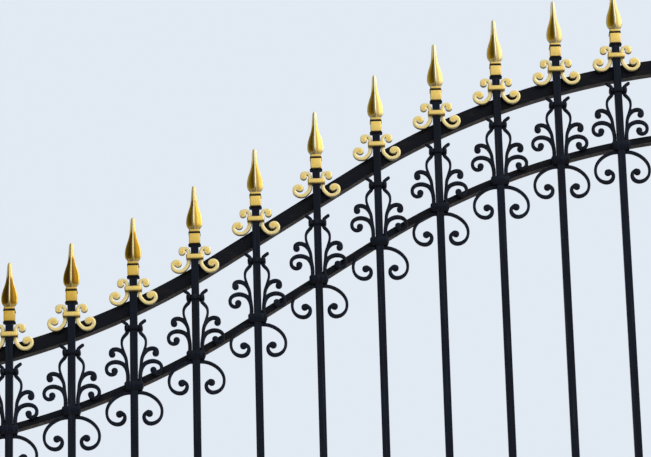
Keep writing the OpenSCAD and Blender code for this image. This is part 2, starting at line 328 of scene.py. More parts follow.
def roundedEdge(base, height, ease, steps=moulded["edgeSteps"]):
    turns = [math.pi / 2 * k / steps for k in range(steps + 1)]
    foot = [(-ease * (1 - math.sin(a)), ease * (1 - math.cos(a))) for a in turns]
    return bothEnds(foot, base, height)


def meshPiece(name, points, faces, material, body, crease=34):
    mesh = bpy.data.meshes.new(name)
    mesh.from_pydata(points, [], faces)
    mesh.polygons.foreach_set("use_smooth", [True] * len(mesh.polygons))
    mesh.set_sharp_from_angle(angle=math.radians(crease))
    mesh.materials.append(material)
    piece = bpy.data.objects.new(name, mesh)
    bpy.context.scene.collection.objects.link(piece)
    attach(piece, body)
    return piece


# Copies of a shape at a list of places on one leaf, joined as one piece. Sway is how far, in
# degrees, a copy may be turned about its picket, and the last argument sets its rims, and so its
# tarnish and painted highlight and shade, by its place.
def leafPiece(side, name, shape, places, material, replaced, sway=0.0, rimsByPlace=None):
    turn, start = leafTurn[side], leafStart(side)
    points, faces, rims = [], [], []
    chance = random.Random(side + name)
    for x, z in places:
        first = len(points)
        a = math.radians(chance.uniform(-sway, sway))
        c, s = math.cos(a), math.sin(a)
        points += [(start + turn * (x + (px * c - (py - axisY) * s) * mm),
                    (axisY + px * s + (py - axisY) * c) * mm, z + pz * mm)
                   for px, py, pz in shape.points]
        rims += rimsByPlace(shape, x / places[-1][0]) if rimsByPlace else shape.rims
        for f in shape.faces:
            face = tuple(first + i for i in f)
            faces.append(face if turn > 0 else tuple(reversed(face)))
    piece = meshPiece(side + name, points, faces, material, side + "_leaf")
    # Gold reads the rims as painted highlight, and as amber painted hollow shade where they are
    # low
    if material is goldPaint:
        rim = piece.data.attributes.new("rim", "FLOAT", "POINT")
        rim.data.foreach_set("value", rims)
    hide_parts(side + "_" + replaced)


# Nodes of a shader tree, made and joined in one go
class Graph:
    def __init__(self, tree):
        self.tree = tree

    def node(self, kind, **settings):
        made = self.tree.nodes.new(kind)
        for key, value in settings.items():
            setattr(made, key, value)
        return made

    def feed(self, socket, value):
        if isinstance(value, bpy.types.NodeSocket):
            self.tree.links.new(value, socket)
        else:
            socket.default_value = value

    def math(self, operation, a, b, clamp=False):
        made = self.node("ShaderNodeMath", operation=operation, use_clamp=clamp)
        self.feed(made.inputs[0], a)
        self.feed(made.inputs[1], b)
        return made.outputs[0]

    def mix(self, factor, a, b):
        made = self.node("ShaderNodeMix", data_type="RGBA")
        for index, value in ((0, factor), (6, a), (7, b)):
            self.feed(made.inputs[index], value)
        return made.outputs[2]

    # Colours laid over each other, each through its mask
    def layered(self, colour, *layers):
        for mask, over in layers:
            colour = self.mix(mask, colour, over)
        return colour

    # A value plus a share of each mask, kept between 0 and 1
    def summed(self, total, *masks):
        for mask, share in masks:
            total = self.math("ADD", total, self.math("MULTIPLY", mask, share), clamp=True)
        return total

    def range(self, value, low, high, toLow=0.0, toHigh=1.0):
        made = self.node("ShaderNodeMapRange", interpolation_type="SMOOTHSTEP")
        for i, v in enumerate((value, low, high, toLow, toHigh)):
            self.feed(made.inputs[i], v)
        return made.outputs[0]

    # The scale is one number, or one for each of x, y and z
    def noise(self, vector, scale, detail, rough):
        if isinstance(scale, tuple):
            stretch = self.node("ShaderNodeVectorMath", operation="MULTIPLY")
            self.feed(stretch.inputs[0], vector)
            stretch.inputs[1].default_value = scale
            vector, scale = stretch.outputs[0], 1.0
        made = self.node("ShaderNodeTexNoise")
        for key, value in (("Vector", vector), ("Scale", scale), ("Detail", detail),
                           ("Roughness", rough)):
            self.feed(made.inputs[key], value)
        return made.outputs[0]

    def dot(self, a, b):
        made = self.node("ShaderNodeVectorMath", operation="DOT_PRODUCT")
        self.feed(made.inputs[0], a)
        self.feed(made.inputs[1], b)
        return made.outputs["Value"]

    def bump(self, height, strength, distance):
        made = self.node("ShaderNodeBump")
        for key, value in (("Height", height), ("Strength", strength), ("Distance", distance)):
            self.feed(made.inputs[key], value)
        return made.outputs[0]

    def place(self, group, **inputs):
        made = self.node("ShaderNodeGroup")
        made.node_tree = group
        for key, value in inputs.items():
            self.feed(made.inputs[key], value)
        return made.outputs


# Shader groups: shared effects, built once and placed in each material
def newGroup(name, inputs, outputs):
    tree = bpy.data.node_groups.new(name, "ShaderNodeTree")
    for label, start in inputs:
        socket = tree.interface.new_socket(name=label, in_out="INPUT",
                                           socket_type="NodeSocketFloat")
        socket.default_value = start
    for label in outputs:
        tree.interface.new_socket(name=label, in_out="OUTPUT", socket_type="NodeSocketFloat")
    graph = Graph(tree)
    return graph, graph.node("NodeGroupInput").outputs, graph.node("NodeGroupOutput").inputs


# Fine unevenness of brushed paint over forged bar, with a soft hammered swell below it. A
# noise is its scale, detail and roughness, or the last two where a socket sets the scale.
skinLook = {
    "peelNoise": (2.0, 0.5), "hammerNoise": (2.0, 0.45),
    "toneNoise": (9.0, 4.0, 0.6), "tone": (0.35, 0.68),
}


def makePaintSkin():
    look = skinLook
    g, ins, outs = newGroup("paintSkin", (("Peel", 900.0), ("Hammer", 60.0), ("Depth", 0.5)),
                            ("Height", "Tone"))
    where = g.node("ShaderNodeTexCoord").outputs["Object"]
    peel = g.noise(where, ins["Peel"], *look["peelNoise"])
    hammer = g.noise(where, ins["Hammer"], *look["hammerNoise"])
    g.feed(outs["Height"], g.math("ADD", hammer, g.math("MULTIPLY", peel, ins["Depth"])))
    g.feed(outs["Tone"], g.range(g.noise(where, *look["toneNoise"]), *look["tone"]))
    return g.tree


# Sharp edges, broken up by noise: where paint is rubbed thin, and where a painted sheen lies
# along an edge
edgeWearAndSheenLook = {"samples": 6, "from": 0.004, "brokenNoise": (5.0, 0.7), "broken": (0.42, 0.62)}


def makeEdgeWearAndSheen():
    look = edgeWearAndSheenLook
    g, ins, outs = newGroup("edgeWearAndSheen", (("Radius", 0.0012), ("Spread", 45.0), ("Amount", 0.5),
                                         ("Solid", 0.0), ("Reach", 0.22)), ("Mask",))
    rounded = g.node("ShaderNodeBevel", samples=look["samples"])
    g.feed(rounded.inputs["Radius"], ins["Radius"])
    flat = g.node("ShaderNodeNewGeometry").outputs["Normal"]
    bend = g.math("SUBTRACT", 1.0, g.dot(rounded.outputs[0], flat))
    edge = g.range(bend, look["from"], ins["Reach"])
    where = g.node("ShaderNodeTexCoord").outputs["Object"]
    broken = g.range(g.noise(where, ins["Spread"], *look["brokenNoise"]), *look["broken"])
    broken = g.math("ADD", ins["Solid"], broken, clamp=True)
    mask = g.math("MULTIPLY", g.math("MULTIPLY", edge, broken), ins["Amount"], clamp=True)
    g.feed(outs["Mask"], mask)
    return g.tree


# Weather: pale dust on what faces up, a mask of what faces down that the paints use for grime
# and for painted underside light and shade, runs down the bars and small specks in patches
weatherAndUndersideLook = {
    "up": (0.35, 0.95), "down": (0.12, 0.60),
    "patchNoise": (28.0, 5.0, 0.65), "patch": (0.30, 0.70, 0.50, 1.0),
    "runNoise": ((190.0, 190.0, 6.0), 4.0, 0.6), "runs": (0.50, 0.70),
    "speckNoise": (190.0, 2.0, 0.5), "specks": (0.66, 0.74),
    "fieldNoise": (17.0, 2.0, 0.5), "field": (0.50, 0.66),
}


def makeWeatherAndUnderside():
    look = weatherAndUndersideLook
    g, ins, outs = newGroup("weatherAndUnderside", (("Dust", 0.4), ("GrimeAndUnderside", 0.4), ("Runs", 0.4)),
                            ("DustMask", "GrimeAndUndersideMask", "RunMask", "SpeckMask"))
    where = g.node("ShaderNodeTexCoord").outputs["Object"]
    parts = g.node("ShaderNodeSeparateXYZ")
    g.feed(parts.inputs[0], g.node("ShaderNodeNewGeometry").outputs["Normal"])
    up = g.range(parts.outputs["Z"], *look["up"])
    down = g.range(g.math("MULTIPLY", parts.outputs["Z"], -1.0), *look["down"])
    patch = g.range(g.noise(where, *look["patchNoise"]), *look["patch"])
    runs = g.range(g.noise(where, *look["runNoise"]), *look["runs"])
    specks = g.range(g.noise(where, *look["speckNoise"]), *look["specks"])
    field = g.range(g.noise(where, *look["fieldNoise"]), *look["field"])
    g.feed(outs["DustMask"], g.math("MULTIPLY", g.math("MULTIPLY", up, patch), ins["Dust"]))
    g.feed(outs["GrimeAndUndersideMask"], g.math("MULTIPLY", g.math("MULTIPLY", down, patch), ins["GrimeAndUnderside"]))
    g.feed(outs["RunMask"], g.math("MULTIPLY", runs, ins["Runs"]))
    g.feed(outs["SpeckMask"], g.math("MULTIPLY", specks, field))
    return g.tree


paintSkin, edgeWearAndSheen, weatherAndUnderside = makePaintSkin(), makeEdgeWearAndSheen(), makeWeatherAndUnderside()


def newMaterial(name, plain):
    material = bpy.data.materials.new(name)
    material.use_nodes = True
    material.diffuse_color = plain
    g = Graph(material.node_tree)
    g.tree.nodes.clear()
    shader = g.node("ShaderNodeBsdfPrincipled")
    g.feed(g.node("ShaderNodeOutputMaterial").inputs["Surface"], shader.outputs[0])
    return material, g, shader.inputs


# Satin black gate paint, dusty above, browned below by grime and a painted underside light,
# with scuffs and a bluish painted sheen on its edges. In each look, skin, the edge settings
# and air are what it asks of the three groups, and bump is strength and distance.
blackLook = {
    "deep": (0.0018, 0.0034, 0.0090, 1), "faded": (0.0040, 0.0074, 0.0170, 1),
    "dust": (0.045, 0.047, 0.052, 1), "grimeAndPaintedUnderside": (0.022, 0.019, 0.017, 1),
    # scuff is real scuffing and also a bluish painted sheen along the edges
    "scuffAndSheen": (0.042, 0.056, 0.084, 1), "streak": (0.0190, 0.0250, 0.0350, 1),
    "skin": {"Peel": 950.0, "Hammer": 70.0, "Depth": 0.10}, "bump": (0.35, 0.0012),
    "wearAndSheen": {"Radius": 0.0012, "Spread": 55.0, "Amount": 0.55},
    "air": {"Dust": 0.30, "GrimeAndUnderside": 0.45, "Runs": 0.80}, "specks": 0.55,
    "rough": 0.42, "toneRough": 0.10, "dustRough": 0.50, "runRough": 0.12, "grimeRough": 0.40,
    "specular": 0.10,
}


def makeBlackPaint():
    look = blackLook
    material, g, shader = newMaterial("blackPaint", look["deep"])
    skin = g.place(paintSkin, **look["skin"])
    paleEdges = g.place(edgeWearAndSheen, **look["wearAndSheen"])["Mask"]
    air = g.place(weatherAndUnderside, **look["air"])
    # Edges get a bluish painted sheen along with scuffs, and the specks are real scuffs
    lightened = g.math("MAXIMUM", paleEdges, g.math("MULTIPLY", air["SpeckMask"], look["specks"]))
    g.feed(shader["Base Color"], g.layered(
        look["deep"], (skin["Tone"], look["faded"]), (air["RunMask"], look["streak"]),
        (air["DustMask"], look["dust"]), (air["GrimeAndUndersideMask"], look["grimeAndPaintedUnderside"]),
        (lightened, look["scuffAndSheen"])))
    g.feed(shader["Roughness"], g.summed(
        look["rough"], (skin["Tone"], look["toneRough"]), (air["DustMask"], look["dustRough"]),
        (air["RunMask"], look["runRough"]), (air["GrimeAndUndersideMask"], look["grimeRough"])))
    shader["Specular IOR Level"].default_value = look["specular"]
    g.feed(shader["Normal"], g.bump(skin["Height"], *look["bump"]))
    return material


# The curved rails' paint: mottled brown in front, and on the underside chalk with a pale
# painted bounce light
railLook = {
    "dark": (0.0016, 0.0022, 0.0040, 1), "brown": (0.0200, 0.0155, 0.0145, 1),
    # chalk is partly dust and partly a pale painted bounce light on the underside
    "chalkAndBounceLight": (0.2500, 0.2250, 0.2080, 1), "speck": (0.0700, 0.0680, 0.0720, 1),
    "skin": {"Peel": 800.0, "Hammer": 60.0, "Depth": 0.12}, "bump": (0.40, 0.0012),
    "wearAndSheen": {"Radius": 0.0014, "Spread": 40.0, "Amount": 0.70},
    "air": {"Dust": 0.40, "GrimeAndUnderside": 0.95}, "specks": 0.70,
    "patchNoise": ((22.0, 70.0, 60.0), 6.0, 0.7), "patch": (0.50, 0.64), "patchShare": 0.75,
    "fleckNoise": ((60.0, 160.0, 160.0), 4.0, 0.7), "flecks": (0.40, 0.66, 0.55, 1.0),
    "rough": 0.46, "patchRough": 0.25, "grimeRough": 0.30, "specular": 0.10,
}


def makeRailPaint():
    look = railLook
    material, g, shader = newMaterial("railPaint", blackLook["deep"])
    skin = g.place(paintSkin, **look["skin"])
    paleEdges = g.place(edgeWearAndSheen, **look["wearAndSheen"])["Mask"]
    air = g.place(weatherAndUnderside, **look["air"])
    where = g.node("ShaderNodeTexCoord").outputs["Object"]
    patch = g.range(g.noise(where, *look["patchNoise"]), *look["patch"])
    flecks = g.range(g.noise(where, *look["fleckNoise"]), *look["flecks"])
    lightened = g.math("MAXIMUM", paleEdges, g.math("MULTIPLY", air["SpeckMask"], look["specks"]))
    # The underside layer paints chalk together with a pale painted bounce light from below
    g.feed(shader["Base Color"], g.layered(
        look["dark"], (skin["Tone"], blackLook["deep"]),
        (g.math("MULTIPLY", patch, look["patchShare"]), look["brown"]),
        (g.math("MULTIPLY", air["GrimeAndUndersideMask"], flecks), look["chalkAndBounceLight"]),
        (air["DustMask"], blackLook["dust"]), (lightened, look["speck"])))
    g.feed(shader["Roughness"], g.summed(
        look["rough"], (patch, look["patchRough"]), (air["GrimeAndUndersideMask"], look["grimeRough"])))
    shader["Specular IOR Level"].default_value = look["specular"]
    g.feed(shader["Normal"], g.bump(skin["Height"], *look["bump"]))
    return material


# Gold paint: bright flake over a warm ground. A piece's rim value sets its colour: tarnished
# below 0, an amber painted hollow shade at 0, thin paint with a painted sheen at 1 and a pale
# painted highlight above it. Undersides get grime and a dark painted shade.
goldLook = {
    "bright": (0.740, 0.490, 0.055, 1), "warm": (0.640, 0.370, 0.020, 1),
    # thin is worn paint with a painted sheen, pale a painted highlight, hollow an amber painted
    # shade
    "thinAndSheen": (0.910, 0.765, 0.375, 1), "hollow": (0.410, 0.226, 0.004, 1),
    "paintedHighlight": (0.900, 0.880, 0.640, 1), "tarnish": (0.150, 0.066, 0.002, 1),
    # grime is dark grime together with a painted shade on the undersides
    "grimeAndPaintedUnderside": (0.050, 0.032, 0.010, 1),
    "skin": {"Peel": 1300.0, "Hammer": 150.0, "Depth": 0.22}, "bump": (0.18, 0.0010),
    "wearAndSheen": {"Radius": 0.0034, "Spread": 90.0, "Amount": 0.70, "Solid": 0.35, "Reach": 0.09},
    "air": {"Dust": 0.25, "GrimeAndUnderside": 1.0},
    "strokeNoise": ((310.0, 310.0, 70.0), 3.0, 0.6), "strokes": (0.35, 0.70),
    "edgeRims": (0.0, 0.28), "hollowShadeRims": (0.0, 0.24, 1.0, 0.0), "hollowShadeShare": 0.9,
    "tarnishRims": (-0.5, 0.0, 0.85, 0.0), "highlightRims": (1.0, 1.5),
    "metal": 0.70, "thinAndSheenMetal": 0.38, "hollowMetal": 0.25, "specular": 0.5,
    "rough": 0.40, "strokeRough": 0.10, "dustRough": 0.35,
    "coat": 0.30, "hollowCoat": 0.04, "coatRough": 0.24,
}


def makeGoldPaint():
    look = goldLook
    material, g, shader = newMaterial("goldPaint", look["bright"])
    skin = g.place(paintSkin, **look["skin"])
    edge = g.place(edgeWearAndSheen, **look["wearAndSheen"])["Mask"]
    air = g.place(weatherAndUnderside, **look["air"])
    rim = g.node("ShaderNodeAttribute", attribute_name="rim").outputs["Fac"]
    # Edges and high rims get a painted highlight, low rims an amber painted hollow shade
    edge = g.math("MULTIPLY", edge, g.range(rim, *look["edgeRims"]))
    paleEdges = g.math("MAXIMUM", edge, rim, clamp=True)
    hollow = g.range(rim, *look["hollowShadeRims"])
    where = g.node("ShaderNodeTexCoord").outputs["Object"]
    strokes = g.range(g.noise(where, *look["strokeNoise"]), *look["strokes"])
    ground = g.mix(skin["Tone"], look["bright"], look["warm"])
    g.feed(shader["Base Color"], g.layered(
        look["bright"], (strokes, ground),
        (g.math("MULTIPLY", hollow, look["hollowShadeShare"]), look["hollow"]),
        (g.range(rim, *look["tarnishRims"]), look["tarnish"]), (paleEdges, look["thinAndSheen"]),
        (g.range(rim, *look["highlightRims"]), look["paintedHighlight"]), (air["GrimeAndUndersideMask"], look["grimeAndPaintedUnderside"])))
    metal = g.range(paleEdges, 0.0, 1.0, look["metal"], look["thinAndSheenMetal"])
    metal = g.summed(metal, (hollow, look["hollowMetal"]))
    # Undersides lose metal under their grime and dark painted shade
    clean = g.math("SUBTRACT", 1.0, air["GrimeAndUndersideMask"])
    g.feed(shader["Metallic"], g.math("MULTIPLY", metal, clean))
    g.feed(shader["Roughness"], g.summed(
        look["rough"], (strokes, look["strokeRough"]), (air["DustMask"], look["dustRough"])))
    shader["Specular IOR Level"].default_value = look["specular"]
    g.feed(shader["Coat Weight"], g.range(hollow, 0.0, 1.0, look["coat"], look["hollowCoat"]))
    shader["Coat Roughness"].default_value = look["coatRough"]
    g.feed(shader["Normal"], g.bump(skin["Height"], *look["bump"]))
    return material


# Zinc-plated nuts and bolts
zincLook = {
    "clean": (0.55, 0.56, 0.58, 1), "dull": (0.30, 0.30, 0.31, 1),
    "skin": {"Peel": 1500.0, "Hammer": 240.0, "Depth": 0.4}, "bump": (0.3, 0.0006),
    "air": {"Dust": 0.6}, "metal": 0.9, "rough": 0.38, "toneRough": 0.2, "dustRough": 0.3,
}


def makeZinc():
    look = zincLook
    material, g, shader = newMaterial("zincPlate", look["clean"])
    skin = g.place(paintSkin, **look["skin"])
    dust = g.place(weatherAndUnderside, **look["air"])["DustMask"]
    g.feed(shader["Base Color"], g.layered(
        look["clean"], (skin["Tone"], look["dull"]), (dust, look["dull"])))
    shader["Metallic"].default_value = look["metal"]
    g.feed(shader["Roughness"], g.summed(
        look["rough"], (skin["Tone"], look["toneRough"]), (dust, look["dustRough"])))
    g.feed(shader["Normal"], g.bump(skin["Height"], *look["bump"]))
    return material


blackPaint, railPaint, goldPaint = makeBlackPaint(), makeRailPaint(), makeGoldPaint()
zincPlate = makeZinc()
print("materials ready")


# Nodes that keep their shape: paint, and edges eased as on real bar
easedEdges = {"merge": 0.00002, "width": 0.0011, "segments": 2, "angle": math.radians(35)}
plainNodes = ["post", "base_plate", "post_cap", "hinge_brackets", "hinge_stile", "meeting_stile",
              "lock_rail", "bottom_rail", "pickets", "hinge_eyes"]
squareCut = ["base_plate"]    # cut square, so its edges stay sharp


def paintPlainNode(side, kind):
    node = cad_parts[side + "_" + kind]
    node.data.materials.clear()
    node.data.materials.append(blackPaint)
    if kind in squareCut:
        return
    weld = node.modifiers.new("weld", "WELD")
    weld.merge_threshold = easedEdges["merge"]
    ease = node.modifiers.new("ease", "BEVEL")
    ease.width = easedEdges["width"]
    ease.segments = easedEdges["segments"]
    ease.limit_method = "ANGLE"
    ease.angle_limit = easedEdges["angle"]
    ease.harden_normals = True


for side in leafTurn:
    for kind in plainNodes:
        paintPlainNode(side, kind)
print("plain nodes painted")


# Curved rails: one forged bar each, swept along its bend
curvedRails = {
    "TopRail": {"node": "top_rail", "height": 32, "set": 0.0, "drop": 0.0},
    "SecondRail": {"node": "second_rail", "height": 16, "set": layout["railSet"],
                   "drop": layout["railDrop"]},
}
railBar = {"steps": 170, "ease": 1.5, "cornerSteps": 3, "probe": 0.002}


def makeCurvedRail(side, name, rail):
    x0, half = layout["stileWidth"] / 2, layout["leafDepth"] / mm / 2
    run, steps, probe = leafSpan - 2 * x0, railBar["steps"], railBar["probe"]
    section = roundedRectangle(0.0, half, rail["height"] / 2, half, railBar["ease"],
                               railBar["cornerSteps"])
    rings = []
    for i in range(steps + 1):
        x = x0 + run * i / steps
        z, ahead, behind = (railHeight(x + d, rail["set"], rail["drop"])
                            for d in (0.0, probe, -probe))
        tilt = math.atan2(ahead - behind, 2 * probe)
        square = i in (0, steps)    # the ends are cut upright, against the stiles
        nx, nz = (0.0, 1 / math.cos(tilt)) if square else (-math.sin(tilt), math.cos(tilt))
        rings.append([(x / mm + nx * u, v, z / mm + nz * u) for u, v in reversed(section)])
    shape = Shape()
    shape.add(*loft(rings))
    leafPiece(side, name, shape, [(0.0, 0.0)], railPaint, rail["node"])


# Spearhead: four rounded ridges with hollow faces between them. Its side is drawn in curves
# of (radius, height).
spearhead = {
    "foot": ((9, 0), (10.5, 3), (17.4, 6), (17.4, 17)),
    "blade": ((17.4, 17), (17.4, 38), (8.6, 47), (6.6, 68)),
    "tip": ((6.6, 68), (5.6, 78), (5.4, 90), (4.2, 96.5)),
    "blunt": [(3.4, 98.4), (2.3, 99.6), (1.0, 100)],
    "steps": (7, 18, 7), "ridge": 1.3, "ridgeShare": 0.24, "turn": 56,
    "hollow": 0.57, "pull": 0.46, "faceSteps": 4, "sway": 5.0,
    "ridgeHighlight": 1.4, "ridgeFrom": (0.86, 0.96),    # painted highlight on the ridges, by the share of the radius
    "endHighlight": 1.2, "amberFrom": (1, 9), "amberTo": (60, 86),    # amber painted shade on the belly, painted highlight at both ends
}


def spearSection(r):
    s = spearhead
    edge = min(s["ridge"], r * s["ridgeShare"])
    turn = math.radians(s["turn"])
    ridge = [(r - edge + edge * math.cos(turn * t), edge * math.sin(turn * t))
             for t in (0, 0.5, 1)]
    dip = s["hollow"] * r / math.sqrt(2)
    x0, y0 = ridge[-1]
    pull = math.hypot(x0 - dip, y0 - dip) * s["pull"]
    lean = pull * math.sqrt(0.5)
    face = cubic((x0, y0), (x0 - pull * math.sin(turn), y0 + pull * math.cos(turn)),
                 (dip + lean, dip - lean), (dip, dip), s["faceSteps"])
    half = ridge + face[1:]
    quarter = half + [(y, x) for x, y in reversed(half[1:-1])]
    return [(x * c - y * n, x * n + y * c) for c, n in quarters for x, y in quarter]


def makeSpearhead():
    s = spearhead
    profile = []
    for key, count in zip(("foot", "blade", "tip"), s["steps"]):
        profile += cubic(*s[key], count)[1 if profile else 0:]
    rings, rims = [], []
    for r, z in profile + s["blunt"]:
        section = spearSection(r)
        amber = ramp(z, *s["amberFrom"]) * (1 - ramp(z, *s["amberTo"]))
        rings.append([(x, axisY + y, z) for x, y in section])
        # Ridges and both ends get a painted highlight, the belly's hollows an amber painted
        # shade
        rims += [max(s["ridgeHighlight"] * ramp(math.hypot(x, y) / r, *s["ridgeFrom"]),
                     s["endHighlight"] * (1 - amber)) for x, y in section]
    shape = Shape()
    shape.add(*loft(rings), rims)
    return shape


# Gold changes along a leaf: heads near the hinge are tarnished in their hollows and carry weaker
# painted highlights, those near the crest carry a painted highlight on one side, and sockets
# turn from amber to pale. Each row is the value near the hinge and near the crest, and where
# along the leaf it changes.
goldAlongLeaf = {
    "tarnish": (0.50, 0.00, 0.30, 0.40), "highlightStrength": (0.50, 1.00, 0.26, 0.56),
    "lightened": (0.08, 0.50, 0.42, 0.76), "socket": (0.09, 0.24, 0.22, 0.62),
    "tarnishBelow": 0.3, "sideHighlightFromX": 0.6,
}


def alongLeaf(kind, share):
    nearHinge, nearCrest, start, end = goldAlongLeaf[kind]
    return nearHinge + (nearCrest - nearHinge) * ramp(share, start, end)


def headRims(shape, share):
    tarnish, highlightStrength, lightened = (alongLeaf(kind, share) for kind in ("tarnish", "highlightStrength", "lightened"))
    # One side of a head gets a painted highlight, and its painted highlights are scaled along
    # the leaf
    return [max(rim * highlightStrength, lightened if x > goldAlongLeaf["sideHighlightFromX"] else 0.0)
            - tarnish * max(1 - rim / goldAlongLeaf["tarnishBelow"], 0.0)
            for (x, y, z), rim in zip(shape.points, shape.rims)]


def socketRims(shape, share):
    return [alongLeaf("socket", share)] * len(shape.points)


# Parts of a head below the spear, up from the top rail's centre line
head = {
    "neck": 59.4, "flangeSize": (13.4, 9.0, 2.6),
    "flange": ((-5.3, -1.0, 0), (-4.9, -0.9, 0.2), (-2.4, -0.5, 0.8), (-0.5, -0.2, 1.3),
               (0, 0, 1.9), (0, 0, 2.8), (-0.7, -0.7, 3.6)),
    "block": 22.9, "blockSize": (11.5, 11.5, 1.8), "blockEase": 1.3,
    "washer": 2.7, "washerSize": (12.5, 12.5, 1.6), "washerEase": 0.9,
    "ringSize": (11.75, 11.75, 3.2),
    "ring": ((-1.8, 0), (-0.6, 0.5), (0, 1.8), (0, 3.9), (-0.7, 5.4), (-2.4, 6.5)),
}
blockZ = head["neck"] + head["flange"][-1][-1]
washerZ = blockZ + head["block"]
ringZ = washerZ + head["washer"]
spearZ = ringZ + head["ring"][-1][-1]


def makeSocket():
    shape = Shape()
    mouldedBlock(shape, head["blockSize"], roundedEdge(blockZ, head["block"], head["blockEase"]))
    mouldedBlock(shape, head["ringSize"], raised(head["ring"], ringZ))
    return shape


def makeHeadIron():
    shape = Shape()
    mouldedBlock(shape, head["flangeSize"], raised(head["flange"], head["neck"]))
    mouldedBlock(shape, head["washerSize"],
                 roundedEdge(washerZ, head["washer"], head["washerEase"]))
    return shape


# Gilded band and its scrolls, heights above the top rail's centre line
band = {
    "base": 28.4, "height": 11.8, "size": (18.4, 9.8, 3.2), "y": -10.2,
    "edge": ((-2.4, 0), (-1.3, 0.3), (-0.6, 1.1), (-0.2, 2.4), (0, 4.2)),
}


def makeBand():
    shape = Shape()
    mouldedBlock(shape, band["size"], bothEnds(band["edge"], band["base"], band["height"]),
                 y=band["y"])
    return shape


# A scroll is a path, the widths along it, and a ball (x, z, radius) in its eye
goldScroll = {
    "depth": 8.0,
    "small": [(12.6, 9.4)] + cubic((12.6, 13.8), (12.6, 22), (16, 27), (23, 27), 8)
             + cubic((24.6, 27), (29.5, 26.8), (31.8, 23), (29.5, 19.5), 8),
    "smallWidths": (7.8, 7.4), "smallBall": (26.8, 18.4, 7.3),
    "large": [(12.8, 2.4)] + cubic((12.8, -2), (12.8, -11), (18.4, -18.2), (25.4, -23.1), 6)
             + volute((35.6, -8.5), 17.8, 4.6, -125, 245, 24),
    "largeWidths": (8.4, 8.0), "largeBall": (35.4, -7.3, 8.0),
}


def makeGoldScrolls():
    shape = Shape()
    for kind in ("small", "large"):
        path = [(x, z + band["base"]) for x, z in goldScroll[kind]]
        x, z, r = goldScroll[kind + "Ball"]
        forgedBar(shape, [stroke(path, goldScroll[kind + "Widths"]),
                          ballEnd(x, z + band["base"], r)], goldScroll["depth"])
    return shape.mirrored()


# Black ornament between the rails, heights up from its place on the second rail
collars = {
    "topZ": 117.2, "topHeight": 11.4,
    "middleSize": (10.4, 11.8, 2.6), "middleSet": 0.4, "middleEase": 2.2,
    "sideSize": (5.3, 11.2, 4.8), "sideX": 13.9, "sideEase": 3.4, "sideSteps": 5,
    "lowZ": -14, "lowY": -10.1, "lowSize": (20.2, 9.9, 3.2),
    "low": ((-3.4, -3.2, 0), (-2.9, -2.4, 1.4), (-1.6, -0.9, 5.4), (-0.5, -0.1, 8.6),
            (0, 0, 11.4), (0, 0, 14.4), (-0.5, -0.4, 16.0), (-1.8, -1.7, 18.2),
            (-3.0, -3.0, 19)),
}


def makeTopCollar():
    shape, c = Shape(), collars
    mouldedBlock(shape, c["middleSize"], roundedEdge(
        c["topZ"] + c["middleSet"], c["topHeight"] - 2 * c["middleSet"], c["middleEase"]))
    for x in (-c["sideX"], c["sideX"]):
        mouldedBlock(shape, c["sideSize"], roundedEdge(
            c["topZ"], c["topHeight"], c["sideEase"], c["sideSteps"]), x)
    return shape


def makeLowCollar():
    shape, c = Shape(), collars
    mouldedBlock(shape, c["lowSize"], raised(c["low"], c["lowZ"]), y=c["lowY"])
    return shape


# Stem, low branch, high branch and leaf tip above the second rail, and the curl below it
ironScroll = {
    "depth": 8.0,
    "stem": [(13.2, 119)] + cubic((13.2, 115.2), (15, 108.5), (24.8, 106), (25.3, 93), 10)
            + cubic((25.2, 88), (24.2, 75), (11.8, 62), (12.5, 7), 10) + [(12.5, 2)],
    "stemWidths": (8, 6.8, 5.2, 5.4, 6),
    "low": [(13.1, 2)] + cubic((13.1, 7), (11.5, 27), (15.5, 44), (29, 48.2), 8)
           + cubic((34, 49.7), (45, 51.6), (57.6, 46.8), (57.6, 35), 10)
           + cubic((57, 30.5), (54, 22), (45, 20.5), (39.5, 25.5), 8),
    "lowWidths": (7.8, 8.4, 9, 7.2, 7.4, 8), "lowBall": (40.4, 30.6, 6.8),
    "high": cubic((15.6, 49), (16, 62.5), (25, 77.5), (38, 77.9), 10)
            + cubic((41, 77.6), (46.2, 76.8), (48.8, 73.4), (48.3, 68.5), 6),
    "highWidths": (6.6, 8.8, 8.4), "highBall": (45.4, 66.9, 6.9),
    "tip": [(13.4, 126)] + cubic((13.5, 130.6), (15, 133), (18.5, 135.8), (23.2, 139), 6),
    "tipWidths": (7, 6.6),
    "curl": [(5, -17.8)] + cubic((10, -17.8), (33, -17.8), (57, -37.5), (57.4, -58), 12)
            + cubic((57.3, -62.5), (56.5, -76.4), (46, -85.6), (34, -85.6), 10)
            + cubic((29.5, -84.8), (19.6, -81), (17.2, -68.5), (22.8, -63.8), 12)
            + [(25.8, -61.2), (28.7, -59.5)],
    "curlWidths": (7.2, 7.2, 6.4, 6, 8, 8.8, 7.6, 7.2), "curlBall": (31.2, -63.6, 7.2),
}


def makeBranches():
    shape, look = Shape(), ironScroll
    forgedBar(shape, [stroke(look["stem"], look["stemWidths"]),
                      stroke(look["low"], look["lowWidths"]), ballEnd(*look["lowBall"]),
                      stroke(look["high"], look["highWidths"]), ballEnd(*look["highBall"])],
              look["depth"])
    forgedBar(shape, [stroke(look["tip"], look["tipWidths"])], look["depth"])
    return shape.mirrored()


def makeCScrolls():
    shape, look = Shape(), ironScroll
    forgedBar(shape, [stroke(look["curl"], look["curlWidths"]), ballEnd(*look["curlBall"])],
              look["depth"])
    return shape.mirrored()


